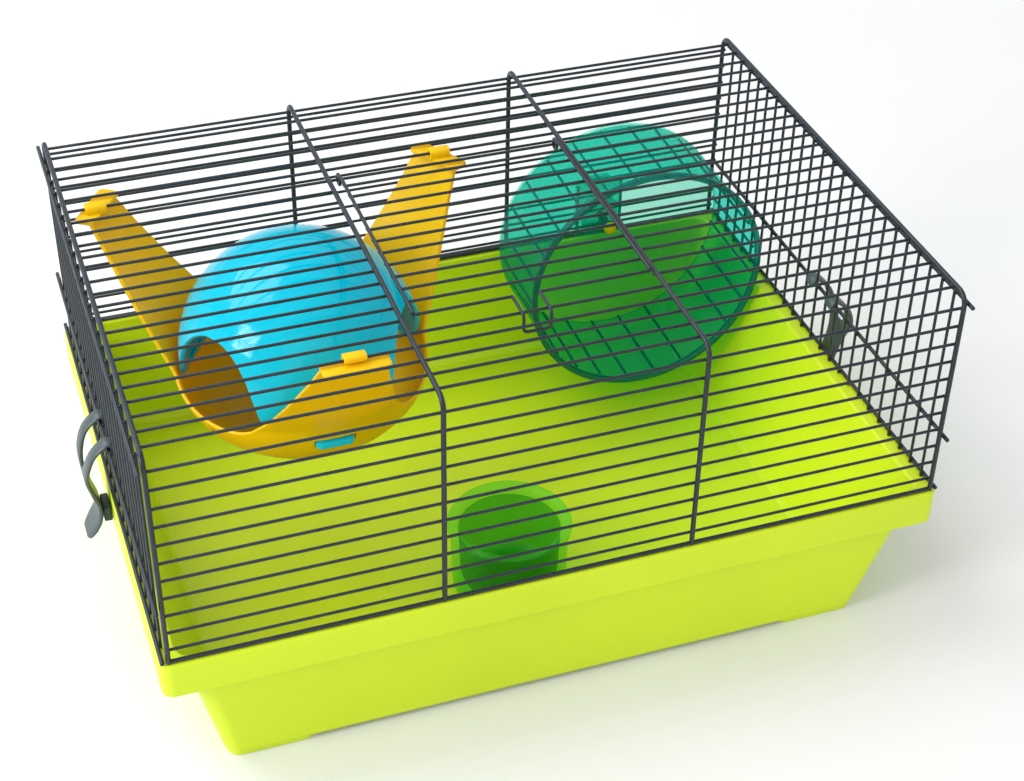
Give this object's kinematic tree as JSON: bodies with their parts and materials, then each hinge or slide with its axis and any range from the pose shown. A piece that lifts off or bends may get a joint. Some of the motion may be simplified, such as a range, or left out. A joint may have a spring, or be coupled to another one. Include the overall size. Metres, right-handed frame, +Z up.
{
  "type": "hamster cage",
  "caption": "Wire-topped small-pet cage on a deep tray, with a hinged roof door, side clips, an exercise wheel, a hanging domed nest and a food cup",
  "frame": {"origin": "centre of the footprint, on the surface that the tray stands on", "axes": "+Z up; X along the length of the cage; -Y is the front long side, nearer the food cup"},
  "size_m": [0.4382, 0.292, 0.2039],
  "materials": {
    "lime_plastic": "glossy moulded lime",
    "cage_wire": "epoxy-coated steel wire, slate blue-grey",
    "grey_plastic": "satin grey",
    "dark_plastic": "matt near-black",
    "teal_clear_plastic": "clear teal-tinted",
    "green_clear_plastic": "clear green-tinted",
    "yellow_plastic": "glossy moulded yellow",
    "blue_plastic": "glossy moulded sky blue"
  },
  "bodies": {
    "tray": {"tray": "lime_plastic"},
    "wire_top": {"front_wire_wall": "cage_wire", "back_wire_wall": "cage_wire", "roof_wire_panel": "cage_wire", "left_end_panel": "cage_wire", "right_end_panel": "cage_wire", "wheel_axle": "grey_plastic", "wheel_bracket": "teal_clear_plastic", "hammock_nest": "yellow_plastic", "nest_dome": "blue_plastic"},
    "left_clip": {"left_side_clip": "grey_plastic", "left_clip_pad": "dark_plastic"},
    "right_clip": {"right_side_clip": "grey_plastic", "right_clip_pad": "dark_plastic"},
    "roof_door": {"roof_door": "cage_wire"},
    "door_latch": {"door_latch_loop": "cage_wire"},
    "wheel": {"wheel_track": "teal_clear_plastic", "wheel_front_ring": "teal_clear_plastic", "wheel_back_disc": "teal_clear_plastic", "wheel_hub_cap": "yellow_plastic"},
    "food_cup": {"food_cup": "green_clear_plastic"}
  },
  "joints": [
    {"name": "wire_top_lift", "type": "slide", "parent": "tray", "child": "wire_top", "axis": [0, 0, 1], "range_m": [0, 0.12]},
    {"name": "left_clip_hinge", "type": "hinge", "parent": "wire_top", "child": "left_clip", "pos_m": [-0.203, -0.00594, 0.113], "axis": [0, 1, 0], "range_deg": [0, 100]},
    {"name": "right_clip_hinge", "type": "hinge", "parent": "wire_top", "child": "right_clip", "pos_m": [0.203, -0.00594, 0.113], "axis": [0, -1, 0], "range_deg": [0, 100]},
    {"name": "roof_door_hinge", "type": "hinge", "parent": "wire_top", "child": "roof_door", "pos_m": [0, 0.0575, 0.1991], "axis": [-1, 0, 0], "range_deg": [0, 115]},
    {"name": "door_latch_flex", "type": "hinge", "parent": "roof_door", "child": "door_latch", "pos_m": [0, -0.0757, 0.2014], "axis": [-1, 0, 0], "range_deg": [0, 25], "stiffness_Nm_per_rad": 0.02},
    {"name": "wheel_spin", "type": "hinge", "parent": "wire_top", "child": "wheel", "pos_m": [0.122, 0.119, 0.098], "axis": [0, 1, 0], "continuous": true},
    {"name": "food_cup_lift", "type": "slide", "parent": "tray", "child": "food_cup", "axis": [0, 0, 1], "range_m": [0, 0.1]}
  ]
}
